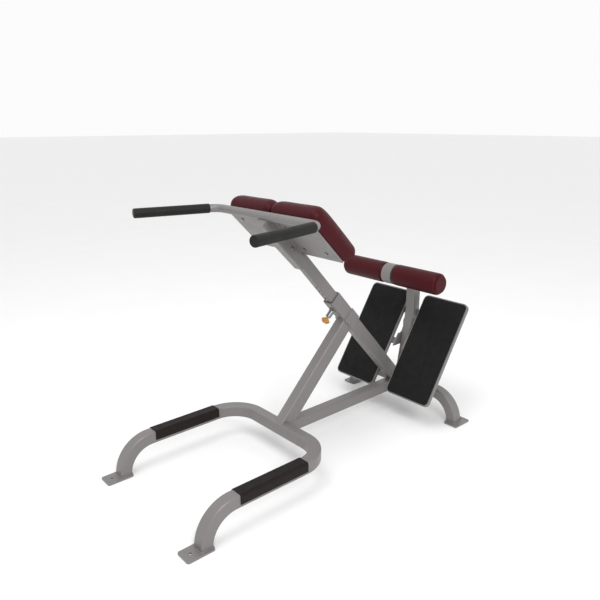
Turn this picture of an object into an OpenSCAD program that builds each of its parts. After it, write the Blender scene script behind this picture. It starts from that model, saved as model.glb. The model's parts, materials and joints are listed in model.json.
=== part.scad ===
// Roman chair: a 45 degree back extension bench.
// +X is the way the user faces, +Y is the user's left, +Z is up.
// The origin is on the floor, under the middle of the bench.

/* [Frame] */
// Length of the bench from the front feet to the back of the foot trays
overall_len = 1551.2; // [1540:0.1:1560]
// Side of the square base tube
tube = 50; // [45:1:55]
// Wall of the base tube
wall = 3; // [2:0.5:4]
// Radius on the tube's outer corners
corner = 7; // [4:1:9]
// Distance between the middles of the two front rails
rail_gap = 580; // [540:5:620]
// Height of the top of the front rails
rail_top = 153; // [145:1:165]
// Height of the top of the spine
spine_top = 147; // [140:1:150]

/* [Mast] */
// Slope of the telescoping mast
mast_angle = 47.7; // [45:0.1:50]
// How far the head can be lowered from where it stands
head_down = 150; // [100:25:150]
// How far the head can be raised from where it stands
head_up = 75; // [25:25:75]
// Distance between two height settings
hole_pitch = 25; // [20:5:25]

/* [Hip pads] */
// Slope of the hip pads
pad_angle = 45; // [44:0.5:46]
// Length of a pad plate, up the slope
plate_len = 222; // [200:1:230]
// Outer edge of a pad plate, from the middle
plate_side = 250; // [230:1:260]
// Thickness of a pad with its board
pad_thick = 86; // [70:1:90]

/* [Handlebar] */
// Diameter of the handlebar tube
bar_d = 33; // [30:1:36]
// Diameter of a hand grip
grip_d = 38; // [36:1:42]
// Length of a hand grip
grip_len = 304; // [260:1:320]
// How far the two grips spread, each side
flare = 12.8; // [8:0.1:16]

/* [Roller] */
// Diameter of the ankle rollers
roller_d = 98; // [85:1:105]
// Overall width of the two rollers
roller_span = 552; // [520:1:600]
// Diameter of the axle
axle_d = 25; // [20:1:30]

/* [Foot trays] */
// Length of a tray, down the slope
tray_len = 508; // [480:1:520]
// Width of a tray
tray_w = 244; // [220:1:250]
// Slope of the trays
tray_angle = 57.4; // [55:0.1:60]

/* [Hidden] */
$fn = 48;

// Places below are measured back from the front edge of the front feet, so x is negative
front_x = overall_len / 2;
rail_y = rail_gap / 2;
rail_z = rail_top - tube / 2;
spine_z = spine_top - tube / 2;
foot_t = 7;
front_leg_x = -82;
front_bend = rail_z - foot_t;
crossbar_x = -653;
plan_bend = 130;
rear_bar_x = -1443;
rear_foot_y = 314;
rear_bend = spine_z - foot_t;
foot_l = 107;
foot_w = 69;
foot_hole = 12;
rear_foot_front = -1400;

strip_t = 3;
strip_drop = 36;
strip_from = -218;
strip_to = -523;

// Mast: its own frame has X up the slope, Z square to it, and starts at mast_o
mast_o = [-1014, 0, 556];
mast_deep = 60;
mast_wide = 50;
mast_wall = 2.7;
inner_deep = 50;
inner_wide = 40;
inner_wall = 3;
slide_gap = 0.3;
liner_t = (mast_wide - 2 * mast_wall - inner_wide) / 2 - slide_gap;
mast_foot = -600;
collar_low = -78;
collar_high = 111;
collar_t = 3;
inner_low = -165;
inner_high = 520;
pin_at = 62;

brace_angle = 133.5;
brace_foot_x = -676;
brace_deep = 64;

pin_d = 10;
pin_fit = 0.1;
pin_nose = inner_deep / 2 + 0.6;
housing_from = mast_deep / 2 + collar_t;
housing_to = 70;
housing_d = 24;
housing_bore = 18;
housing_end = 6;
shoulder_d = 16;
shoulder_at = 36;
shoulder_t = 4;
knob_d = 38;
knob_from = 77;
spring_turns = 5;
spring_wire = 1.6;

// Hip pads: their own frame has X up the slope, Z square to the plates, and starts at pad_o
pad_o = [-596, 0, 1019];
plate_t = 5;
plate_in = 3;
board_t = 12;
board_in = 6;
bracket_wide = 52;
bracket_deep = 46;
bracket_low = -273;
pad_bulge = 34;

bar_o = [-584, 0, 1020];
bar_bend = 50;
bar_corner_y = 301.6;
bar_wall = 2.5;

roller_o = [-1330, 0, 679];
hub_w = 52;
hub_d = 94;
axle_fit = 0.06;
core_wall = 7;
core_d = axle_d + 2 * axle_fit + 2 * core_wall;
cap_t = 4;
hub_gap = 1.5;
clip_t = 2;

post_foot_x = -1440;
post_lean = 10.2;
post_lean_len = 310;
post_bow = 150;
post_top_bend = 115;

tray_o = [-1538.6, 0, 548.8];
tray_in = 43.8;
tray_deep = 15;
tray_sheet = 3;
tray_corner = 25;
mat_border = 6;
mat_t = 4;
arm = 30;
arm_wall = 2.5;
arm_share = 0.6;
arm_high = 93;
arm_low = 259;
gusset_t = 6;

steel = "#8c8886";
vinyl = "#4a1820";
rubber = "#1d1413";
zinc = "#b4b2ae";

module placed() translate([front_x, 0, 0]) children();
module in_mast() placed() translate(mast_o) rotate([0, -mast_angle, 0]) children();
module in_pad() placed() translate(pad_o) rotate([0, -pad_angle, 0]) children();
module in_tray() placed() translate(tray_o) rotate([0, tray_angle, 0]) children();
module right() mirror([0, 1, 0]) children();

// Outline of a rectangular tube with round corners
module round_rect(w, h, r) {
  square([w - 2 * r, h], center = true);
  square([w, h - 2 * r], center = true);
  for (x = [-1, 1], y = [-1, 1])
    translate([x * (w / 2 - r), y * (h / 2 - r)]) circle(r, $fn = 32);
}

module ring_rect(w, h, t, r) {
  difference() {
    round_rect(w, h, r);
    round_rect(w - 2 * t, h - 2 * t, max(r - t, 0.5));
  }
}

// Straight tube along +X from the origin, w across Y and h up Z
module tube_x(len, w = tube, h = tube, t = wall, r = corner)
  rotate([90, 0, 90]) linear_extrude(len) ring_rect(w, h, t, r);

// Bend: starts at the origin along +X and turns left, in the XY plane
module tube_bend(radius, angle, w = tube, h = tube, t = wall, r = corner)
  translate([0, radius, 0]) rotate([0, 0, -90])
    rotate_extrude(angle = angle, $fn = 96) translate([radius, 0]) ring_rect(w, h, t, r);

// Rods for a tube bent at odd angles. A straight rod runs a lap into the bend after it, and the
// bend's section is a slack smaller, so that the two overlap cleanly. cut is the wall, for the bore.
lap = 0.5;
slack = 0.05;
module rod_section(cut) round_rect(tube - 2 * cut, tube - 2 * cut, corner - cut);
module rod_x(len, cut) translate([-lap, 0, 0]) rotate([90, 0, 90]) linear_extrude(len + 2 * lap) rod_section(cut);
module rod_bend(radius, angle, cut)
  rotate([-90, 0, 0]) translate([0, radius, 0]) rotate([0, 0, -90])
    rotate_extrude(angle = angle, $fn = 96) translate([radius, 0]) rod_section(cut + slack);

// Solid bar along +X with a round-cornered section
module bar_x(len, w, h, r = 2)
  rotate([90, 0, 90]) linear_extrude(len) round_rect(w, h, r);

// ---------- base ----------
module front_leg() {
  placed() {
    translate([strip_to, rail_y, rail_z]) tube_x(front_leg_x - front_bend - strip_to);
    translate([front_leg_x - front_bend, rail_y, rail_z]) rotate([-90, 0, 0]) tube_bend(front_bend, 90);
  }
}
module front_leg_left() { color(steel) front_leg(); }
module front_leg_right() { color(steel) right() front_leg(); }

module front_crossbar() {
  straight = rail_y - plan_bend;
  color(steel) placed() {
    translate([crossbar_x, -straight, rail_z]) rotate([0, 0, 90]) tube_x(2 * straight);
    for (side = [0, 1]) mirror([0, side, 0])
      translate([crossbar_x, straight, rail_z]) rotate([0, 0, 90]) mirror([0, 1, 0]) tube_bend(plan_bend, 90);
  }
}

// Foot plate with its back edge at x = 0, reaching foot_l towards +X
module foot_plate(hole_x) {
  difference() {
    translate([foot_l / 2, 0, 0]) linear_extrude(foot_t) round_rect(foot_l, foot_w, 8);
    translate([hole_x, 0, -1]) cylinder(d = foot_hole, h = foot_t + 2);
  }
}
module front_foot() placed() translate([-foot_l, rail_y, 0]) foot_plate(foot_l - 30);
module front_foot_left() { color(steel) front_foot(); }
module front_foot_right() { color(steel) right() front_foot(); }

module rear_foot() {
  middle_y = rear_foot_y + 12;
  placed() translate([rear_foot_front, middle_y, 0]) rotate([0, 0, 180]) foot_plate(foot_l - 22);
}
module rear_foot_left() { color(steel) rear_foot(); }
module rear_foot_right() { color(steel) right() rear_foot(); }

// Rubber strip: wraps the top and most of the sides of a front rail
module wear_strip() {
  outer = tube + 2 * strip_t;
  placed() translate([strip_to, rail_y, rail_z]) rotate([90, 0, 90]) linear_extrude(strip_from - strip_to)
    difference() {
      round_rect(outer, outer, corner + strip_t);
      round_rect(tube, tube, corner);
      translate([-outer, -outer - (strip_drop - tube / 2)]) square([2 * outer, outer]);
    }
}
module wear_strip_left() { color(rubber) wear_strip(); }
module wear_strip_right() { color(rubber) right() wear_strip(); }

module spine() {
  from = rear_bar_x + tube / 2;
  to = crossbar_x - tube / 2;
  color(steel) placed() translate([from, 0, spine_z]) tube_x(to - from);
}

module rear_crossbar() {
  straight = rear_foot_y - rear_bend;
  color(steel) placed() translate([rear_bar_x, 0, spine_z]) {
    translate([0, -straight, 0]) rotate([0, 0, 90]) tube_x(2 * straight);
    for (side = [0, 1]) mirror([0, side, 0])
      translate([0, straight, 0]) rotate([0, 0, 90]) rotate([-90, 0, 0]) tube_bend(rear_bend, 90);
  }
}

// ---------- mast ----------
module in_brace() placed() translate([brace_foot_x, 0, spine_top]) rotate([0, -brace_angle, 0]) children();

module brace() {
  color(steel) difference() {
    in_brace() translate([-80, 0, 0]) tube_x(700, mast_wide, brace_deep);
    placed() translate([brace_foot_x - 200, -tube, spine_top - 200]) cube([400, 2 * tube, 200]);
    placed() translate([crossbar_x - tube / 2, -tube, 0]) cube([200, 2 * tube, rail_top]);
    in_mast() translate([-400, -tube, -mast_deep / 2 - collar_t]) cube([800, 2 * tube, 400]);
  }
}

// Cheeks: the brace's sides carried on over the collar, up to the mast's rear face
cheek_t = 3;
cheek_overlap = 120;
collar_out = mast_wide / 2 + collar_t;

module brace_cheeks() {
  deep = mast_deep + 2 * collar_t;
  color(steel) for (side = [0, 1]) mirror([0, side, 0]) intersection() {
    in_brace() translate([brace_bolt_at - cheek_overlap, collar_out, -brace_deep / 2])
      cube([2 * cheek_overlap, cheek_t, brace_deep]);
    in_mast() translate([collar_low, collar_out, -deep / 2]) cube([collar_high - collar_low, cheek_t, deep]);
  }
}

brace_bolt_at = 505;
bolt_head_d = 15;
bolt_head_t = 4;
bolt_hole_d = 8;

module side_bolt(width) {
  for (side = [0, 1]) mirror([0, side, 0]) translate([0, width / 2, 0]) rotate([-90, 0, 0]) difference() {
    union() {
      cylinder(d = bolt_head_d, h = bolt_head_t / 2);
      translate([0, 0, bolt_head_t / 2]) cylinder(d1 = bolt_head_d, d2 = bolt_head_d - 4, h = bolt_head_t / 2, $fn = 40);
    }
    translate([0, 0, 1.5]) cylinder(d = 6, h = 5, $fn = 6);
  }
}
module brace_bolt() { color(zinc) in_brace() translate([brace_bolt_at, 0, 0]) side_bolt(2 * (collar_out + cheek_t)); }

module mast_section(len) tube_x(len, mast_wide, mast_deep, mast_wall);
module pin_hole(d) translate([pin_at, 0, -mast_deep]) cylinder(d = d, h = mast_deep);

module mast_tube() {
  color(steel) difference() {
    in_mast() translate([mast_foot, 0, 0]) mast_section(collar_high - mast_foot);
    placed() translate([-1700, -tube, spine_top - 300]) cube([700, 2 * tube, 300]);
    placed() translate([post_foot_x, 0, spine_top]) rotate([0, -post_lean, 0])
      translate([-tube, -tube, -tube]) cube([1.5 * tube, 2 * tube, 6 * tube]);
    in_mast() pin_hole(pin_d + 1);
  }
}

module mast_collar() {
  color(steel) in_mast() difference() {
    translate([collar_low, 0, 0])
      tube_x(collar_high - collar_low, mast_wide + 2 * collar_t, mast_deep + 2 * collar_t, collar_t, corner + collar_t);
    pin_hole(pin_d + 1);
  }
}

module mast_liner() {
  color("#232323") in_mast() difference() {
    translate([collar_low + 48, 0, 0]) tube_x(collar_high - collar_low - 48, mast_wide - 2 * mast_wall,
      mast_deep - 2 * mast_wall, liner_t, corner - mast_wall);
    pin_hole(pin_d + 1);
  }
}

// Pin: its frame has Z square out of the front face of the mast
module in_pin() in_mast() translate([pin_at, 0, 0]) rotate([180, 0, 0]) children();

module pin_housing() {
  color(zinc) in_pin() difference() {
    union() {
      translate([0, 0, housing_from]) cylinder(d = 30, h = 9, $fn = 6);
      translate([0, 0, housing_from]) cylinder(d = housing_d, h = housing_to - housing_from);
    }
    translate([0, 0, housing_from - 1]) cylinder(d = housing_bore, h = housing_to - housing_from - housing_end + 1);
    cylinder(d = pin_d + 2 * pin_fit, h = housing_to + 1);
  }
}

module pin_plunger() {
  color(zinc) in_pin() {
    translate([0, 0, pin_nose]) cylinder(d1 = pin_d - 2, d2 = pin_d, h = 1, $fn = 40);
    translate([0, 0, pin_nose + 1]) cylinder(d = pin_d, h = knob_from + 6 - pin_nose - 1);
    translate([0, 0, shoulder_at]) cylinder(d = shoulder_d, h = shoulder_t);
  }
}

// Coil spring between the plunger's shoulder and the housing's end wall
spring_sides = 6;
spring_steps = 12;
spring_r = (pin_d + shoulder_d) / 4 + 0.4;
spring_from = shoulder_at + shoulder_t + spring_wire / 2 + 0.2;
spring_len = housing_to - housing_end - spring_wire / 2 - 0.2 - spring_from;
spring_rings = spring_turns * spring_steps;
function spring_point(i, k) =
  let (a = 360 * i / spring_steps, b = 360 * k / spring_sides, r = spring_r + spring_wire / 2 * cos(b))
  [r * cos(a), r * sin(a), spring_from + spring_len * i / spring_rings + spring_wire / 2 * sin(b)];
function next_side(k) = (k + 1) % spring_sides;

module pin_spring() {
  points = [for (i = [0:spring_rings], k = [0:spring_sides - 1]) spring_point(i, k)];
  sides = [for (i = [0:spring_rings - 1], k = [0:spring_sides - 1])
    [i * spring_sides + k, (i + 1) * spring_sides + k, (i + 1) * spring_sides + next_side(k), i * spring_sides + next_side(k)]];
  ends = [[for (k = [0:spring_sides - 1]) k],
    [for (k = [0:spring_sides - 1]) spring_rings * spring_sides + spring_sides - 1 - k]];
  color(zinc) in_pin() polyhedron(points, concat(sides, ends), convexity = 8);
}

module pin_knob() {
  stem_r = 9;
  color("#b08020") in_pin() translate([0, 0, knob_from]) difference() {
    rotate_extrude($fn = 64) {
      square([stem_r, 8]);
      translate([0, 6]) square([knob_d / 2 - 4, 14]);
      translate([knob_d / 2 - 6, 12]) circle(6);
      intersection() {
        translate([0, -14]) circle(38);
        translate([0, 17]) square([knob_d / 2 - 5, 12]);
      }
    }
    translate([0, 0, -1]) cylinder(d = pin_d, h = 7);
  }
}

module inner_mast() {
  holes = [for (q = [-head_up:hole_pitch:head_down]) pin_at + q];
  color(steel) difference() {
    in_mast() translate([inner_low, 0, 0]) tube_x(inner_high - inner_low, inner_wide, inner_deep, inner_wall, 6);
    in_mast() for (s = holes) translate([s, 0, -inner_deep]) cylinder(d = pin_d + 1, h = inner_deep);
    in_pad() translate([-plate_len - 4, -tube, -plate_t]) cube([500, 2 * tube, 300]);
    in_pad() translate([-130, -tube, -200]) cube([500, 2 * tube, 300]);
  }
}

// Plastic plug in the lower end of the inner mast
module mast_plug() {
  color("#232323") in_mast() translate([inner_low - 4, 0, 0]) {
    bar_x(4, inner_wide, inner_deep, 5);
    translate([4, 0, 0]) bar_x(20, inner_wide - 2 * inner_wall, inner_deep - 2 * inner_wall, 3);
  }
}

// ---------- head ----------
module bar_straight(d) placed() translate(bar_o) rotate([90, 0, 0]) cylinder(d = d, h = 2 * bar_corner_y, center = true);

module head_bracket() {
  side = (bracket_wide - inner_wide) / 2;
  bottom = -plate_t - bracket_deep;
  color(steel) difference() {
    in_pad() translate([bracket_low, 0, bottom + bracket_deep / 2])
      bar_x(8 - bracket_low, bracket_wide, bracket_deep, 4);
    in_pad() translate([bracket_low - 1, side - bracket_wide / 2, bottom + 4])
      cube([-bracket_low - 20, inner_wide, bracket_deep]);
    bar_straight(bar_d);
  }
}

module head_bolt() { color(zinc) in_pad() translate([-168, 0, -21]) side_bolt(bracket_wide); }

module pad_plate() {
  difference() {
    in_pad() translate([-plate_len, plate_in, -plate_t]) cube([plate_len + 5, plate_side - plate_in, plate_t]);
    bar_straight(bar_d);
    in_pad() for (x = screw_x, y = screw_y) translate([x, y, -plate_t - 1]) cylinder(d = screw_d, h = plate_t + 2);
  }
}
module pad_plate_left() { color(steel) pad_plate(); }
module pad_plate_right() { color(steel) right() pad_plate(); }

screw_d = 8;
screw_x = [-180, -50];
screw_y = [75, 195];
board_front = -8;

module pad_board() {
  len = plate_len + board_front;
  wide = plate_side - 4 - board_in;
  in_pad() translate([board_front - len / 2, board_in + wide / 2, 0]) difference() {
    linear_extrude(board_t) round_rect(len, wide, 15);
    translate([len / 2 - board_front, -board_in - wide / 2, -1])
      for (x = screw_x, y = screw_y) translate([x, y, 0]) cylinder(d = screw_d, h = board_t - 1);
  }
}
module pad_board_left() { color("#9a7b55") pad_board(); }
module pad_board_right() { color("#9a7b55") right() pad_board(); }

// Plain cushion solid: narrow at the board, widest in the middle, rounded on top
module pad_slab(x0, x1, y0, y1, z, t, r)
  translate([(x0 + x1) / 2, (y0 + y1) / 2, z]) linear_extrude(t) round_rect(x1 - x0, y1 - y0, r);

module hip_pad() {
  in_pad() hull() {
    pad_slab(-plate_len, board_front, board_in, plate_side - 4, board_t, 1, 20);
    pad_slab(-plate_len - pad_bulge, 14, 2, plate_side + 5, 34, pad_thick - 34 - 24, 30);
    pad_slab(-plate_len - 24, 4, 16, plate_side - 10, pad_thick - 9, 9, 26);
  }
}
module hip_pad_left() { color(vinyl) hip_pad(); }
module hip_pad_right() { color(vinyl) right() hip_pad(); }

module pad_screws() {
  color(zinc) for (side = [0, 1]) mirror([0, side, 0]) in_pad()
    for (x = screw_x, y = screw_y) translate([x, y, 0]) {
      translate([0, 0, -plate_t - 4]) cylinder(d = 14, h = 4);
      translate([0, 0, -plate_t]) cylinder(d = screw_d, h = plate_t + 8);
    }
}

// Handlebar: a cross tube behind the hands, then two bends and two spread ends
bar_turn = 90 - flare;
bar_trim = bar_bend * tan(bar_turn / 2);

module in_bar_arm() placed() translate(bar_o + [0, bar_corner_y, 0]) rotate([0, 0, flare]) translate([bar_trim, 0, 0]) children();

// The handlebar's tube as solid rods: d is the rod's diameter, over is how far the ends run on
module bar_rods(d, over = 0) {
  straight = bar_corner_y - bar_trim;
  placed() translate(bar_o) rotate([90, 0, 0]) cylinder(d = d, h = 2 * straight + 2 * lap, center = true);
  for (side = [0, 1]) mirror([0, side, 0]) {
    placed() translate(bar_o + [bar_bend, straight, 0]) rotate([0, 0, 180 - bar_turn])
      rotate_extrude(angle = bar_turn, $fn = 96) translate([bar_bend, 0]) circle(d = d - 2 * slack);
    in_bar_arm() translate([-lap, 0, 0]) rotate([0, 90, 0]) cylinder(d = d, h = grip_len - 3 + lap + over);
  }
}

module handlebar() {
  color(steel) difference() {
    bar_rods(bar_d);
    bar_rods(bar_d - 2 * bar_wall, 1);
  }
}
module grip() {
  in_bar_arm() rotate([0, 90, 0]) rotate_extrude() difference() {
    union() {
      square([grip_d / 2, grip_len - 5]);
      translate([0, grip_len - 5]) square([grip_d / 2 - 5, 5]);
      translate([grip_d / 2 - 5, grip_len - 5]) intersection() { circle(5); square(5); }
    }
    square([bar_d / 2, grip_len - 3]);
  }
}
module grip_left() { color("#2a2b28") grip(); }
module grip_right() { color("#2a2b28") right() grip(); }

// ---------- rollers ----------
module in_roller() placed() translate(roller_o) rotate([-90, 0, 0]) children();

// Post: leans back, bows upright, then bends forward to the hub
module post_rods(cut) {
  lean_top = [-sin(post_lean) * post_lean_len, 0, cos(post_lean) * post_lean_len];
  bow_shift = [-post_bow * (1 - cos(post_lean)), 0, post_bow * sin(post_lean)];
  upright_from = [post_foot_x, 0, spine_top] + lean_top + bow_shift;
  upright_len = roller_o[2] - post_top_bend - upright_from[2];
  bend_end_x = upright_from[0] + post_top_bend;
  placed() {
    translate([post_foot_x, 0, spine_top]) rotate([0, -90 - post_lean, 0]) translate([-40, 0, 0])
      rod_x(post_lean_len + 40, cut);
    translate([post_foot_x, 0, spine_top] + lean_top) rotate([0, -90 - post_lean, 0])
      rod_bend(post_bow, post_lean, cut);
    translate(upright_from) rotate([0, -90, 0]) rod_x(upright_len, cut);
    translate(upright_from + [0, 0, upright_len]) rotate([0, -90, 0]) rod_bend(post_top_bend, 90, cut);
    translate([bend_end_x, 0, roller_o[2]]) rod_x(roller_o[0] - bend_end_x, cut);
  }
}

module roller_post() {
  color(steel) difference() {
    post_rods(0);
    post_rods(wall);
    in_roller() cylinder(d = hub_d, h = 2 * tube, center = true, $fn = 96);
    placed() translate([-1700, -tube, spine_top - 200]) cube([600, 2 * tube, 200]);
  }
}

module roller_hub() {
  color(steel) in_roller() difference() {
    cylinder(d = hub_d, h = hub_w, center = true, $fn = 96);
    cylinder(d = axle_d, h = hub_w + 2, center = true, $fn = 64);
  }
}

axle_len = roller_span - 2 * cap_t - 8;
groove_d = axle_d - 3;

module clip_groove(side) translate([0, 0, side * (axle_len / 2 - 8)]) children();

module roller_axle() {
  color(zinc) in_roller() difference() {
    cylinder(d = axle_d, h = axle_len, center = true, $fn = 64);
    for (side = [-1, 1]) clip_groove(side) difference() {
      cylinder(d = axle_d + 2, h = clip_t, center = true, $fn = 64);
      cylinder(d = groove_d, h = clip_t + 1, center = true, $fn = 64);
    }
  }
}

module axle_clips() {
  color(zinc) in_roller() for (side = [-1, 1]) clip_groove(side) difference() {
    cylinder(d = axle_d + 7, h = clip_t - 0.2, center = true, $fn = 64);
    cylinder(d = groove_d, h = clip_t + 1, center = true, $fn = 64);
    translate([0, -groove_d / 3, -clip_t]) cube([axle_d, groove_d / 1.5, 2 * clip_t]);
  }
}

roller_from = hub_w / 2 + hub_gap;
core_to = axle_len / 2 - 8 - clip_t;

module roller_core() {
  in_roller() translate([0, 0, roller_from]) difference() {
    cylinder(d = core_d, h = core_to - roller_from, $fn = 64);
    translate([0, 0, -1]) cylinder(d = axle_d + 2 * axle_fit, h = core_to - roller_from + 2, $fn = 64);
  }
}
module roller_core_left() { color("#232323") roller_core(); }
module roller_core_right() { color("#232323") right() roller_core(); }

module roller_pad() {
  round_r = 10;
  end = roller_span / 2 - cap_t;
  in_roller() rotate_extrude($fn = 96) difference() {
    union() {
      translate([core_d / 2, roller_from]) square([roller_d / 2 - core_d / 2, end - roller_from - round_r]);
      translate([core_d / 2, roller_from]) square([roller_d / 2 - core_d / 2 - round_r, end - roller_from]);
      translate([roller_d / 2 - round_r, end - round_r]) circle(round_r);
    }
  }
}
module roller_pad_left() { color(vinyl) roller_pad(); }
module roller_pad_right() { color(vinyl) right() roller_pad(); }

// Cap: a disc over the end of the pad, with a plug that goes into the core's bore
module roller_cap() {
  plug_from = core_to + 0.5;
  end = roller_span / 2;
  round_r = cap_t / 2;
  in_roller() rotate_extrude($fn = 96) {
    translate([axle_d / 2 + 5, plug_from]) square([(core_d - axle_d) / 2 - 5, end - cap_t - plug_from]);
    translate([0, end - cap_t]) square([roller_d / 2 - 12, cap_t]);
    translate([0, end - cap_t]) square([roller_d / 2 - 12 + round_r, cap_t - round_r]);
    translate([roller_d / 2 - 12, end - round_r]) circle(round_r);
  }
}
module roller_cap_left() { color(vinyl) roller_cap(); }
module roller_cap_right() { color(vinyl) right() roller_cap(); }

// ---------- foot trays ----------
module gusset() {
  low = 298;
  color(steel) placed() translate([0, tube / 2, 0]) rotate([90, 0, 0]) mirror([0, 0, 1]) linear_extrude(gusset_t)
    difference() {
      polygon([[-1396, low], [-1468, low], [-1488, 430], [-1480, 430]]);
      translate([-1443, 376]) circle(22);
      translate([-1470, 376]) square([49, 60]);
    }
}
module gusset_left() gusset();
module gusset_right() right() gusset();

module tray_arms() {
  in_tray() for (x = [arm_high, arm_low]) {
    inner = x == arm_low ? tube / 2 + gusset_t : tube / 2;
    translate([x, inner, -tray_deep - arm / 2]) rotate([0, 0, 90])
      tube_x(tray_in + arm_share * tray_w - inner, arm, arm, arm_wall, 4);
  }
}
module tray_arms_left() { color(steel) tray_arms(); }
module tray_arms_right() { color(steel) right() tray_arms(); }

// Tray: a sheet with its edges folded back
module foot_tray() {
  in_tray() translate([tray_len / 2, tray_in + tray_w / 2, -tray_deep]) difference() {
    linear_extrude(tray_deep) round_rect(tray_len, tray_w, tray_corner);
    translate([0, 0, -1]) linear_extrude(tray_deep - tray_sheet + 1)
      round_rect(tray_len - 2 * tray_sheet, tray_w - 2 * tray_sheet, tray_corner - tray_sheet);
  }
}
module foot_tray_left() { color(steel) foot_tray(); }
module foot_tray_right() { color(steel) right() foot_tray(); }

module foot_mat() {
  in_tray() translate([tray_len / 2, tray_in + tray_w / 2, 0]) linear_extrude(mat_t)
    round_rect(tray_len - 2 * mat_border, tray_w - 2 * mat_border, tray_corner - mat_border);
}
module foot_mat_left() { color("#1c1c1c") foot_mat(); }
module foot_mat_right() { color("#1c1c1c") right() foot_mat(); }

front_leg_left();
front_leg_right();
front_crossbar();
front_foot_left();
front_foot_right();
wear_strip_left();
wear_strip_right();
spine();
rear_crossbar();
rear_foot_left();
rear_foot_right();
brace();
brace_cheeks();
brace_bolt();
mast_tube();
mast_collar();
mast_liner();
pin_housing();
pin_plunger();
pin_spring();
pin_knob();
inner_mast();
mast_plug();
head_bracket();
head_bolt();
pad_plate_left();
pad_plate_right();
pad_board_left();
pad_board_right();
hip_pad_left();
hip_pad_right();
pad_screws();
handlebar();
grip_left();
grip_right();
roller_post();
roller_hub();
roller_axle();
axle_clips();
roller_core_left();
roller_core_right();
roller_pad_left();
roller_pad_right();
roller_cap_left();
roller_cap_right();
gusset_left();
gusset_right();
tray_arms_left();
tray_arms_right();
foot_tray_left();
foot_tray_right();
foot_mat_left();
foot_mat_right();
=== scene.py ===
# Roman chair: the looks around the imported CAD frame. Metres, +X forward, +Y the user's left, +Z up.
import json
import math

import bmesh
import bpy
import numpy as np
from mathutils import Matrix, Vector, noise


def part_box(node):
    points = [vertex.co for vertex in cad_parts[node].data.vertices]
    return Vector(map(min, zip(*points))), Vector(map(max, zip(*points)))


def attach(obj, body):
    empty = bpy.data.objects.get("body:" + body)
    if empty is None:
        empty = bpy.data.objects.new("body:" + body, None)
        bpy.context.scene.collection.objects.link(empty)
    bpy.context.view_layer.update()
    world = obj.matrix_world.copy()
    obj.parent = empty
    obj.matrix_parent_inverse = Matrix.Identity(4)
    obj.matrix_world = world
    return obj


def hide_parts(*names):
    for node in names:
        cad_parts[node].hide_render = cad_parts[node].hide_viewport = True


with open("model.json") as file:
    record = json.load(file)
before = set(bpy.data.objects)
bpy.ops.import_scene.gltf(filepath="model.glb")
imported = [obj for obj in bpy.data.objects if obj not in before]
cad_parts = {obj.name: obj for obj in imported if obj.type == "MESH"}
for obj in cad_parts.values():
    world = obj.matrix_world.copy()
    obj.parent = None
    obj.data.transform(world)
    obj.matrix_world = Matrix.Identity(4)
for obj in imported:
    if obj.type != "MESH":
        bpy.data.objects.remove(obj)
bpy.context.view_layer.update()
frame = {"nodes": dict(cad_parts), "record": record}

MM = 0.001

# ---------------------------------------------------------------- frames of the sloping parts


def slope(angle_deg):
    """Columns are a sloping part's own axes: X up the slope, Y across, Z square to it."""
    a = math.radians(angle_deg)
    return Matrix(((math.cos(a), 0, -math.sin(a)), (0, 1, 0), (math.sin(a), 0, math.cos(a))))


PAD = slope(45.0)
TRAY = slope(-57.4)
MAST = slope(47.7)
LEVEL = slope(0.0)


def flat_points(mesh):
    co = np.empty(len(mesh.vertices) * 3, np.float32)
    mesh.vertices.foreach_get("co", co)
    return co


def points_of(node):
    return flat_points(frame["nodes"][node].data).reshape(-1, 3).astype(float)


def local_box(node, axes):
    """Lowest and highest corners of a CAD node in a sloping frame."""
    local = points_of(node) @ np.array(axes)
    return Vector(local.min(0)), Vector(local.max(0))


# ---------------------------------------------------------------- materials


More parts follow.
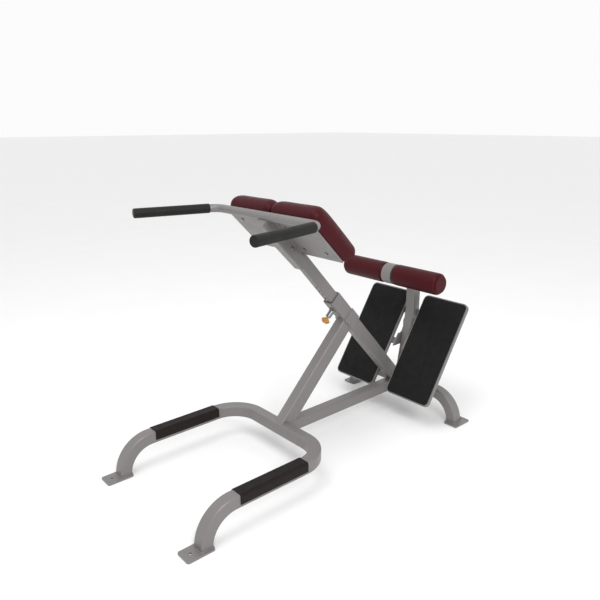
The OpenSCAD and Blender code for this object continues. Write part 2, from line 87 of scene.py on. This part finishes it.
class Shader:
    """A small helper around one material's node tree."""

    def __init__(self, name):
        self.material = bpy.data.materials.new(name)
        self.material.use_nodes = True
        self.tree = self.material.node_tree
        self.bsdf = self.tree.nodes["Principled BSDF"]
        self.coords = self.tree.nodes.new("ShaderNodeTexCoord").outputs["Object"]

    def node(self, kind, props=(), **inputs):
        made = self.tree.nodes.new("ShaderNode" + kind)
        for key, value in dict(props).items():
            setattr(made, key, value)
        for key, value in inputs.items():
            self.put(made.inputs[key.replace("_", " ")], value)
        return made

    def put(self, socket, value):
        if isinstance(value, bpy.types.NodeSocket):
            self.tree.links.new(value, socket)
        else:
            socket.default_value = value

    def noise(self, scale, detail=3.0, rough=0.5, coords=None):
        made = self.node("TexNoise", Scale=scale, Detail=detail, Roughness=rough,
                         Vector=coords or self.coords)
        return made.outputs["Fac"]

    def cells(self, scale, feature="F1", coords=None):
        made = self.node("TexVoronoi", {"feature": feature}, Scale=scale, Vector=coords or self.coords)
        return made.outputs["Distance"]

    def ramp(self, fac, stops):
        made = self.tree.nodes.new("ShaderNodeValToRGB")
        ramp = made.color_ramp
        while len(ramp.elements) < len(stops):
            ramp.elements.new(0.5)
        for element, (place, color) in zip(ramp.elements, stops):
            element.position = place
            element.color = (*color, 1) if isinstance(color, tuple) else (color, color, color, 1)
        self.put(made.inputs["Fac"], fac)
        return made.outputs["Color"]

    def mix(self, fac, a, b):
        made = self.node("Mix", {"data_type": "RGBA"})
        self.put(made.inputs[0], fac)
        self.put(made.inputs[6], (*a, 1) if isinstance(a, tuple) else a)
        self.put(made.inputs[7], (*b, 1) if isinstance(b, tuple) else b)
        return made.outputs[2]

    def math(self, operation, a, b=0.0):
        made = self.node("Math", {"operation": operation})
        self.put(made.inputs[0], a)
        self.put(made.inputs[1], b)
        return made.outputs[0]

    def bump(self, height, strength, distance, normal=None):
        made = self.node("Bump", Strength=strength, Distance=distance, Height=height)
        if normal is not None:
            self.put(made.inputs["Normal"], normal)
        return made.outputs["Normal"]

    def finish(self, **inputs):
        for key, value in inputs.items():
            self.put(self.bsdf.inputs[key.replace("_", " ")], value)
        return self.material


def edge_highlight_mask(s, radius):
    """Mask of where the surface turns sharply, on edges and corners, used to paint a highlight there."""
    bevel = s.node("Bevel", {"samples": 4}, Radius=radius)
    geometry = s.node("NewGeometry")
    dot = s.node("VectorMath", {"operation": "DOT_PRODUCT"})
    s.put(dot.inputs[0], bevel.outputs["Normal"])
    s.put(dot.inputs[1], geometry.outputs["Normal"])
    return s.ramp(dot.outputs["Value"], [(0.80, 1.0), (0.97, 0.0)])


def frame_paint():
    """Silver grey powder coat: orange peel, faint clouding, edges painted lighter as rubbed edges and as a
    painted highlight, and a few scuffs.
    """
    s = Shader("frame_powder_coat")
    cloud = s.noise(7.0, 4.0)
    fleck = s.noise(1500.0, 1.0)
    scuffs = s.ramp(s.noise(55.0, 6.0, 0.7), [(0.60, 0.0), (0.72, 1.0)])
    base = s.mix(cloud, (0.160, 0.150, 0.148), (0.186, 0.176, 0.173))
    base = s.mix(s.math("MULTIPLY", fleck, 0.25), base, (0.25, 0.24, 0.237))
    base = s.mix(s.math("MULTIPLY", scuffs, 0.18), base, (0.085, 0.078, 0.075))
    # Painted highlight: edges and corners painted lighter, partly also standing for rubbed edges.
    base = s.mix(s.math("MULTIPLY", edge_highlight_mask(s, 0.003), 0.35), base, (0.36, 0.345, 0.335))
    rough = s.ramp(s.noise(30.0, 4.0), [(0.3, 0.36), (0.7, 0.47)])
    peel = s.bump(s.noise(420.0, 2.0), 0.12, 0.0006)
    return s.finish(Base_Color=base, Roughness=rough, Metallic=0.2, Normal=peel)


def vinyl():
    """Burgundy upholstery vinyl: fine pebbled grain and soft gloss."""
    s = Shader("burgundy_vinyl")
    cloud = s.noise(9.0, 3.0)
    grain = s.cells(900.0)
    base = s.mix(cloud, (0.040, 0.0010, 0.0034), (0.055, 0.0018, 0.0052))
    # Painted shade: the dents of the pebble grain are painted darker.
    base = s.mix(s.math("MULTIPLY", s.ramp(grain, [(0.0, 1.0), (0.45, 0.0)]), 0.35), base,
                 (0.016, 0.0012, 0.0020))
    rough = s.ramp(s.noise(45.0, 4.0), [(0.3, 0.40), (0.7, 0.52)])
    pebbles = s.bump(s.math("ADD", grain, s.noise(2100.0, 2.0)), 0.22, 0.0004)
    creases = s.bump(s.noise(22.0, 4.0, 0.5), 0.06, 0.002, pebbles)
    return s.finish(Base_Color=base, Roughness=rough, Normal=creases, Specular_IOR_Level=0.16)


def rubber(name, dark, pale, grain=700.0, rough=(0.5, 0.68), dust=0.25):
    """Black rubber: fine texture with a little dust and rubbing."""
    s = Shader(name)
    base = s.mix(s.noise(14.0, 4.0), dark, pale)
    dusty = s.ramp(s.noise(60.0, 6.0, 0.65), [(0.52, 0.0), (0.75, 1.0)])
    base = s.mix(s.math("MULTIPLY", dusty, dust), base, tuple(2.5 * v + 0.008 for v in pale))
    roughness = s.ramp(s.noise(35.0, 3.0), [(0.3, rough[0]), (0.7, rough[1])])
    skin = s.bump(s.noise(grain, 3.0, 0.6), 0.25, 0.0005)
    return s.finish(Base_Color=base, Roughness=roughness, Normal=skin, Specular_IOR_Level=0.16)


def plastic(name, color, rough):
    s = Shader(name)
    base = s.mix(s.noise(40.0, 3.0), color, tuple(v * 0.82 for v in color))
    # Painted highlight: edges and corners painted lighter.
    base = s.mix(s.math("MULTIPLY", edge_highlight_mask(s, 0.0015), 0.3), base,
                 tuple(min(1.0, v * 1.4 + 0.01) for v in color))
    roughness = s.ramp(s.noise(90.0, 4.0), [(0.3, rough), (0.7, rough + 0.14)])
    skin = s.bump(s.noise(900.0, 2.0), 0.10, 0.0003)
    return s.finish(Base_Color=base, Roughness=roughness, Normal=skin)


def zinc():
    """Zinc-plated steel: bright, faintly mottled, turned."""
    s = Shader("zinc_plate")
    base = s.mix(s.noise(80.0, 4.0), (0.22, 0.22, 0.215), (0.30, 0.295, 0.28))
    roughness = s.ramp(s.noise(200.0, 4.0), [(0.3, 0.26), (0.7, 0.42)])
    skin = s.bump(s.noise(1200.0, 2.0), 0.12, 0.0003)
    return s.finish(Base_Color=base, Roughness=roughness, Normal=skin, Metallic=0.9)


def plywood():
    s = Shader("birch_plywood")
    stretched = s.node("Mapping", Vector=s.coords, Scale=(6.0, 60.0, 60.0))
    grain = s.noise(6.0, 6.0, 0.6, stretched.outputs["Vector"])
    base = s.ramp(grain, [(0.3, (0.36, 0.23, 0.12)), (0.7, (0.55, 0.39, 0.23))])
    return s.finish(Base_Color=base, Roughness=0.65, Normal=s.bump(grain, 0.2, 0.0006))


PAINT = frame_paint()
VINYL = vinyl()
GRIP = rubber("grip_rubber", (0.0085, 0.0090, 0.0080), (0.015, 0.016, 0.014), 900.0, (0.42, 0.55), 0.12)
STRIP = rubber("strip_rubber", (0.0065, 0.0040, 0.0036), (0.0125, 0.0080, 0.0072), 600.0, (0.48, 0.62), 0.16)
MAT = rubber("mat_rubber", (0.0060, 0.0060, 0.0060), (0.0100, 0.0100, 0.0100), 1100.0, (0.62, 0.78), 0.10)
BLACK = plastic("black_nylon", (0.020, 0.020, 0.020), 0.42)
KNOB = plastic("mustard_plastic", (0.47, 0.215, 0.018), 0.30)
ZINC = zinc()
PLY = plywood()
SLOT_LOOKS = {
    "frame_paint": PAINT, "vinyl": VINYL, "wear_rubber": STRIP, "grip_rubber": GRIP, "mat_rubber": MAT,
    "plywood": PLY, "black_plastic": BLACK, "knob_plastic": KNOB, "zinc": ZINC,
}
for part in frame["record"]["subparts"]:
    looks = frame["nodes"][part["node"]].data.materials
    looks.clear()
    looks.append(SLOT_LOOKS[part["material_slot"]])

# ---------------------------------------------------------------- mesh helpers


def mesh_piece(name, bm, material, body):
    """Turns a bmesh in the row frame into a piece that rides on a body."""
    bmesh.ops.recalc_face_normals(bm, faces=bm.faces)
    mesh = bpy.data.meshes.new(name)
    bm.to_mesh(mesh)
    bm.free()
    mesh.materials.append(material)
    mesh.shade_smooth()
    piece = bpy.data.objects.new(name, mesh)
    bpy.context.scene.collection.objects.link(piece)
    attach(piece, body)
    return piece


def sweep(bm, path, radius, sides=8, closed=True, ripple=0.0):
    """A round bead along a path of points; ripple makes it swell and shrink like a weld."""
    rings = []
    count = len(path)
    for i, point in enumerate(path):
        after = path[(i + 1) % count] if closed else path[min(i + 1, count - 1)]
        before = path[(i - 1) % count] if closed else path[max(i - 1, 0)]
        along = (after - before).normalized()
        side = along.orthogonal().normalized()
        up = along.cross(side)
        r = radius * (1 + ripple * math.sin(i * 2.1) + ripple * noise.noise(point * 300))
        turns = [2 * math.pi * k / sides for k in range(sides)]
        rings.append([bm.verts.new(point + r * (side * math.cos(a) + up * math.sin(a))) for a in turns])
    spans = range(count if closed else count - 1)
    for i in spans:
        a, b = rings[i], rings[(i + 1) % count]
        shift = min(range(sides), key=lambda s: (a[0].co - b[s].co).length)
        for k in range(sides):
            quad = (a[k], a[(k + 1) % sides], b[(k + 1 + shift) % sides], b[(k + shift) % sides])
            bm.faces.new(quad)
    if not closed:
        bm.faces.new(rings[0])
        bm.faces.new(list(reversed(rings[-1])))


def hull_2d(points):
    """Convex outline of 2D points, anticlockwise."""
    points = sorted(set((round(float(x), 6), round(float(y), 6)) for x, y in points))
    def half(seq):
        out = []
        for p in seq:
            while len(out) > 1 and ((out[-1][0] - out[-2][0]) * (p[1] - out[-2][1])
                                    - (out[-1][1] - out[-2][1]) * (p[0] - out[-2][0])) <= 0:
                out.pop()
            out.append(p)
        return out[:-1]
    return half(points) + half(list(reversed(points)))


def resample(path, step):
    """Evenly spaced points along a closed path."""
    loop = list(path) + [path[0]]
    lengths = [(b - a).length for a, b in zip(loop, loop[1:])]
    total = sum(lengths)
    count = max(12, round(total / step))
    out, span, walked = [], 0, 0.0
    for i in range(count):
        target = total * i / count
        while walked + lengths[span] < target:
            walked += lengths[span]
            span += 1
        out.append(loop[span].lerp(loop[span + 1], (target - walked) / lengths[span]))
    return out


# ---------------------------------------------------------------- welds

WELD_R = 2.6 * MM
WELD_STEP = 2.4 * MM
ON_PLANE = 0.25 * MM
COLLAR_WALL = 3 * MM


def drawn_in(point, centre, inset):
    away = point - centre
    return point - Vector((math.copysign(inset, away.x), math.copysign(inset, away.y)))


def weld_outline(node, axes, height, inset=0.0):
    """The outline that a node leaves on the plane at that height of a sloping frame, as 3D points."""
    local = points_of(node) @ np.array(axes)
    flat = local[np.abs(local[:, 2] - height) < ON_PLANE]
    outline = [Vector(p) for p in hull_2d(flat[:, :2])]
    centre = sum(outline, Vector((0, 0))) / len(outline)
    return [axes @ Vector((*drawn_in(p, centre, inset), height)) for p in outline]


def weld(name, body, paths, closed=True):
    bm = bmesh.new()
    for path in paths:
        sweep(bm, resample(path, WELD_STEP) if closed else path, WELD_R, closed=closed, ripple=0.10)
    return mesh_piece(name, bm, PAINT, body)


def straight(a, b):
    count = max(2, round((b - a).length / WELD_STEP))
    return [a.lerp(b, i / count) for i in range(count + 1)]


# X across the mast's section and Z along it: the planes square to the mast
ALONG_MAST = Matrix((MAST.col[2] * -1, MAST.col[1], MAST.col[0])).transposed()


def base_welds():
    foot_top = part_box("front_foot_left")[1].z
    for side in ("left", "right"):
        weld(f"weld_front_foot_{side}", "frame", [weld_outline(f"front_leg_{side}", LEVEL, foot_top)])
    rear = points_of("rear_crossbar")
    ends = []
    for sign in (1, -1):
        flat = rear[(np.abs(rear[:, 2] - foot_top) < ON_PLANE) & (rear[:, 1] * sign > 0)]
        ends.append([Vector((x, y, foot_top)) for x, y in hull_2d(flat[:, :2])])
    weld("weld_rear_feet", "frame", ends)


def mast_welds():
    spine_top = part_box("spine")[1].z
    collar_low = local_box("mast_collar", MAST)[0]
    weld("weld_mast_foot", "frame", [weld_outline("mast_tube", LEVEL, spine_top)])
    weld("weld_brace_foot", "frame", [weld_outline("brace", LEVEL, spine_top)])
    weld("weld_brace_head", "frame", [weld_outline("brace", MAST, collar_low.z)])
    weld("weld_post_foot", "frame", [weld_outline("roller_post", LEVEL, spine_top)])
    weld("weld_collar", "frame", [weld_outline("mast_collar", ALONG_MAST, collar_low.x, COLLAR_WALL)])
    weld("weld_spine", "frame", [
        spine_outline(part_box("spine")[0].x), spine_outline(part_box("spine")[1].x)])


def spine_outline(x):
    flat = points_of("spine")
    flat = flat[np.abs(flat[:, 0] - x) < ON_PLANE]
    return [Vector((x, y, z)) for y, z in hull_2d(flat[:, 1:])]


def head_welds():
    low, high = local_box("pad_plate_left", PAD)
    edge = local_box("head_bracket", PAD)[1].y
    for side in (1, -1):
        start = PAD @ Vector((low.x + 4 * MM, side * edge, low.z))
        end = PAD @ Vector((high.x - 18 * MM, side * edge, low.z))
        weld(f"weld_bracket_{'left' if side > 0 else 'right'}", "head", [straight(start, end)], closed=False)


def hub_weld():
    low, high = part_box("roller_hub")
    centre = (low + high) / 2
    radius = (high.z - low.z) / 2
    half = (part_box("roller_post")[1].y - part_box("roller_post")[0].y) / 2
    corner = 7 * MM
    outline = []
    for k in range(96):
        a = 2 * math.pi * k / 96
        y = math.copysign(min(abs(math.cos(a)) * half * 1.45, half), math.cos(a))
        z = math.copysign(min(abs(math.sin(a)) * half * 1.45, half), math.sin(a))
        over = max(0.0, abs(y) + abs(z) - (2 * half - corner))
        y -= math.copysign(over / 2, y)
        z -= math.copysign(over / 2, z)
        outline.append(Vector((centre.x - math.sqrt(radius ** 2 - z ** 2), y, centre.z + z)))
    weld("weld_hub", "frame", [outline])


base_welds()
mast_welds()
head_welds()
hub_weld()

# ---------------------------------------------------------------- soft pieces


CLOTH_FRAMES = 20


def round_off(a, b, edge_a, edge_b, radius):
    """Pulls a point in the square corner below (edge_a, edge_b) onto a quarter circle."""
    qa, qb = a - (edge_a - radius), b - (edge_b - radius)
    if qa <= 0 or qb <= 0:
        return a, b
    pull = max(qa, qb) / math.hypot(qa, qb)
    return edge_a - radius + qa * pull, edge_b - radius + qb * pull


def apply_modifiers(piece):
    bpy.context.view_layer.update()
    depsgraph = bpy.context.evaluated_depsgraph_get()
    made = bpy.data.meshes.new_from_object(piece.evaluated_get(depsgraph))
    piece.modifiers.clear()
    piece.data = made


def inflate(piece, pressure, cap, pinned):
    """Cloth under pressure, held where pinned; no point moves further than cap."""
    before = flat_points(piece.data)
    group = piece.vertex_groups.new(name="pin")
    for v in piece.data.vertices:
        if pinned(v.co):
            group.add([v.index], 1.0, "REPLACE")
    cloth = piece.modifiers.new("cloth", "CLOTH")
    cloth.settings.use_pressure = True
    cloth.settings.uniform_pressure_force = pressure
    cloth.settings.effector_weights.gravity = 0.0
    cloth.settings.vertex_group_mass = "pin"
    cloth.settings.tension_stiffness = 40
    cloth.settings.compression_stiffness = 40
    cloth.settings.bending_stiffness = 2.0
    cloth.point_cache.frame_end = CLOTH_FRAMES
    for f in range(1, CLOTH_FRAMES + 1):
        bpy.context.scene.frame_set(f)
    apply_modifiers(piece)
    bpy.context.scene.frame_set(1)
    move = (flat_points(piece.data) - before).reshape(-1, 3)
    length = np.linalg.norm(move, axis=1, keepdims=True)
    move *= np.minimum(1.0, cap / np.maximum(length, 1e-9))
    piece.data.vertices.foreach_set("co", (before.reshape(-1, 3) + move).ravel())
    piece.vertex_groups.clear()


def puff(piece, voxel, pressure, cap, pinned):
    """Voxel remesh, then the cloth step, then smoothing."""
    remesh = piece.modifiers.new("remesh", "REMESH")
    remesh.mode = "VOXEL"
    remesh.voxel_size = voxel
    apply_modifiers(piece)
    inflate(piece, pressure, cap, pinned)
    smooth = piece.modifiers.new("smooth", "SMOOTH")
    smooth.factor = 0.5
    smooth.iterations = 8
    finer = piece.modifiers.new("finer", "SUBSURF")
    finer.levels = 1
    finer.render_levels = 1
    apply_modifiers(piece)
    piece.data.shade_smooth()


PAD_RISE = 3 * MM
PAD_REAR = 8 * MM
PAD_FRONT = 4 * MM
PAD_CROWN = 6 * MM
PAD_R_FRONT = 36 * MM
PAD_R_REAR = 24 * MM
PAD_R_SIDE = 42 * MM
PAD_R_PLAN = 24 * MM
PAD_ROLL = 13 * MM
PAD_ROLL_FROM = 95 * MM
PAD_TUCK_HEIGHT = 40 * MM
PAD_CUTS = 27


def pad_top_at(x, front, rear, top):
    """Height of the pad's side outline at x, before it rolls off."""
    if x > front - PAD_R_FRONT:
        reach, radius = x - (front - PAD_R_FRONT), PAD_R_FRONT
    elif x < rear + PAD_R_REAR:
        reach, radius = rear + PAD_R_REAR - x, PAD_R_REAR
    else:
        return top
    return top - radius + math.sqrt(max(0.0, radius ** 2 - reach ** 2))


def hip_pad(side):
    """Foam pad under vinyl: tucked in at the board, sides bulging, the crown rolling off at its top end."""
    low, high = local_box(f"hip_pad_{side}", PAD)
    board_low, board_high = local_box(f"pad_board_{side}", PAD)
    base = board_low.z + 0.5 * MM
    top = high.z + PAD_RISE
    rear, front = low.x - PAD_REAR, high.x + PAD_FRONT
    middle, half = (low.y + high.y) / 2, (high.y - low.y) / 2 + 1 * MM
    board_half = (board_high.y - board_low.y) / 2 + 3 * MM
    bm = bmesh.new()
    bmesh.ops.create_cube(bm, size=2.0)
    bmesh.ops.subdivide_edges(bm, edges=bm.edges[:], cuts=PAD_CUTS, use_grid_fill=True)
    for v in bm.verts:
        x = rear + (front - rear) * (v.co.x + 1) / 2
        y = abs(v.co.y) * half
        z = base + (top - base) * (v.co.z + 1) / 2
        x, z = round_off(x, z, front, top, PAD_R_FRONT)
        x, z = round_off(-x, z, -rear, top, PAD_R_REAR)
        x = -x
        y, z = round_off(y, z, half, pad_top_at(x, front, rear, top), PAD_R_SIDE)
        x, y = round_off(x, y, front, half, PAD_R_PLAN)
        x, y = round_off(-x, y, -rear, half, PAD_R_PLAN)
        x = -x
        nx = (2 * x - front - rear) / (front - rear)
        up = (z - base) / (top - base)
        roll = max(0.0, x - front + PAD_ROLL_FROM) / PAD_ROLL_FROM
        tuck = max(0.0, 1 - (z - base) / PAD_TUCK_HEIGHT) ** 1.5
        z += up * (PAD_CROWN * (1 - nx ** 2) * (1 - (y / half) ** 2) - PAD_ROLL * roll ** 2)
        x -= tuck * nx * ((front - board_high.x if nx > 0 else board_low.x - rear) - 3 * MM)
        y -= tuck * (y / half) * (half - board_half)
        v.co = PAD @ Vector((x, middle + math.copysign(y, v.co.y), z))
    piece = mesh_piece(f"hip_cushion_{side}", bm, VINYL, "head")
    up_axis = PAD.col[2]
    puff(piece, 5 * MM, 3.0, 1.4 * MM, lambda co: co.dot(up_axis) < base + 5 * MM)
    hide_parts(f"hip_pad_{side}")
    return piece


ROLLER_ROUND = 12 * MM
ROLLER_SHRINK = 0.4 * MM


def roller_pad(side):
    """Foam sleeve under vinyl, with soft round ends."""
    low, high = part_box(f"roller_pad_{side}")
    centre = (low + high) / 2
    radius = (high.z - low.z) / 2 - ROLLER_SHRINK
    half = (high.y - low.y) / 2 - 0.5 * MM
    profile = [(0.0, -half)]
    for k in range(9):
        a = math.pi / 2 * k / 8
        profile.append((radius - ROLLER_ROUND * (1 - math.sin(a)), -half + ROLLER_ROUND * (1 - math.cos(a))))
    profile += [(radius, y) for y in np.linspace(-half, half, 40)[4:-4]]
    profile += [(r, -y) for r, y in reversed(profile[:10])]
    bm = bmesh.new()
    turns = 96
    rings = []
    for r, y in profile:
        if r == 0.0:
            rings.append([bm.verts.new(centre + Vector((0, y, 0)))])
            continue
        angles = [2 * math.pi * k / turns for k in range(turns)]
        rings.append([bm.verts.new(centre + Vector((r * math.cos(a), y, r * math.sin(a)))) for a in angles])
    for a, b in zip(rings, rings[1:]):
        for k in range(turns):
            quad = [a[k % len(a)], a[(k + 1) % len(a)], b[(k + 1) % len(b)], b[k % len(b)]]
            bm.faces.new(list(dict.fromkeys(quad)))
    piece = mesh_piece(f"ankle_roller_{side}", bm, VINYL, f"roller_{side}")
    inner = 20 * MM
    puff(piece, 4 * MM, 2.0, 0.8 * MM,
         lambda co: math.hypot(co.x - centre.x, co.z - centre.z) < radius - inner)
    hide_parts(f"roller_pad_{side}")
    return piece


for side in ("left", "right"):
    hip_pad(side)
    roller_pad(side)

# ---------------------------------------------------------------- foot mats

MAT_PITCH = 4.0 * MM
MAT_RELIEF = 0.7 * MM


def foot_mat(side):
    """Rubber mat: a field of small pyramids inside a plain rounded border."""
    low, high = local_box(f"foot_mat_{side}", TRAY)
    corner = 19 * MM
    across = round((high.y - low.y) / MAT_PITCH)
    down = round((high.x - low.x) / MAT_PITCH)
    centre = Vector(((low.x + high.x) / 2, (low.y + high.y) / 2))
    half = Vector(((high.x - low.x) / 2, (high.y - low.y) / 2))
    bm = bmesh.new()
    grid = []
    for i in range(2 * down + 1):
        row = []
        for j in range(2 * across + 1):
            p = Vector((half.x * (i / down - 1), half.y * (j / across - 1)))
            core = Vector((max(-half.x + corner, min(half.x - corner, p.x)),
                           max(-half.y + corner, min(half.y - corner, p.y))))
            away = p - core
            if abs(away.x) > 0 and abs(away.y) > 0:
                p = core + away * (max(abs(away.x), abs(away.y)) / away.length)
            peak = i % 2 and j % 2 and 2 < i < 2 * down - 2 and 2 < j < 2 * across - 2
            height = high.z - (0 if peak else MAT_RELIEF)
            row.append(bm.verts.new(TRAY @ Vector((centre.x + p.x, centre.y + p.y, height))))
        grid.append(row)
    for a, b in zip(grid, grid[1:]):
        for k in range(len(a) - 1):
            bm.faces.new((a[k], a[k + 1], b[k + 1], b[k]))
    rim = [e for e in bm.edges if e.is_boundary]
    skirt = bmesh.ops.extrude_edge_only(bm, edges=rim)["geom"]
    drop = TRAY.col[2] * (high.z - MAT_RELIEF - low.z)
    bottom = [g for g in skirt if isinstance(g, bmesh.types.BMVert)]
    for v in bottom:
        v.co -= drop
    bmesh.ops.holes_fill(bm, edges=[e for e in bm.edges if e.is_boundary])
    piece = mesh_piece(f"foot_mat_relief_{side}", bm, MAT, "frame")
    piece.data.shade_flat()
    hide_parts(f"foot_mat_{side}")


for side in ("left", "right"):
    foot_mat(side)

# ---------------------------------------------------------------- camera, floor and light

CAMERA_FROM = Vector((1.5762, 1.7723, 1.3530))
CAMERA_YAW = 228.61
CAMERA_DOWN = 16.33
CAMERA_LENS = 36.4
WORLD = 0.97


def camera():
    data = bpy.data.cameras.new("camera")
    data.lens = CAMERA_LENS
    data.sensor_width = 36.0
    made = bpy.data.objects.new("camera", data)
    made.location = CAMERA_FROM
    made.rotation_euler = (math.radians(90 - CAMERA_DOWN), 0, math.radians(CAMERA_YAW - 90))
    bpy.context.scene.collection.objects.link(made)
    bpy.context.scene.camera = made


def floor():
    s = Shader("pale_floor")
    base = s.mix(s.noise(3.0, 3.0), (0.86, 0.86, 0.86), (0.89, 0.89, 0.89))
    s.finish(Base_Color=base, Roughness=0.85)
    bm = bmesh.new()
    bmesh.ops.create_grid(bm, x_segments=1, y_segments=1, size=60.0)
    mesh = bpy.data.meshes.new("floor")
    bm.to_mesh(mesh)
    bm.free()
    mesh.materials.append(s.material)
    made = bpy.data.objects.new("floor", mesh)
    bpy.context.scene.collection.objects.link(made)


def area_light(name, place, target, size, power):
    data = bpy.data.lights.new(name, "AREA")
    data.shape = "DISK"
    data.size = size
    data.energy = power
    made = bpy.data.objects.new(name, data)
    made.location = place
    made.rotation_euler = (Vector(target) - Vector(place)).to_track_quat("-Z", "Y").to_euler()
    bpy.context.scene.collection.objects.link(made)


def light():
    world = bpy.data.worlds.new("studio")
    world.use_nodes = True
    background = world.node_tree.nodes["Background"]
    background.inputs["Color"].default_value = (1, 1, 1, 1)
    background.inputs["Strength"].default_value = WORLD
    bpy.context.scene.world = world
    area_light("key", (1.0, 3.2, 3.0), (0, 0, 0.5), 1.8, 62)
    area_light("top", (1.2, 0.2, 3.6), (0, 0, 0.5), 2.0, 34)


camera()
floor()
light()
bpy.context.scene.view_settings.view_transform = "Standard"
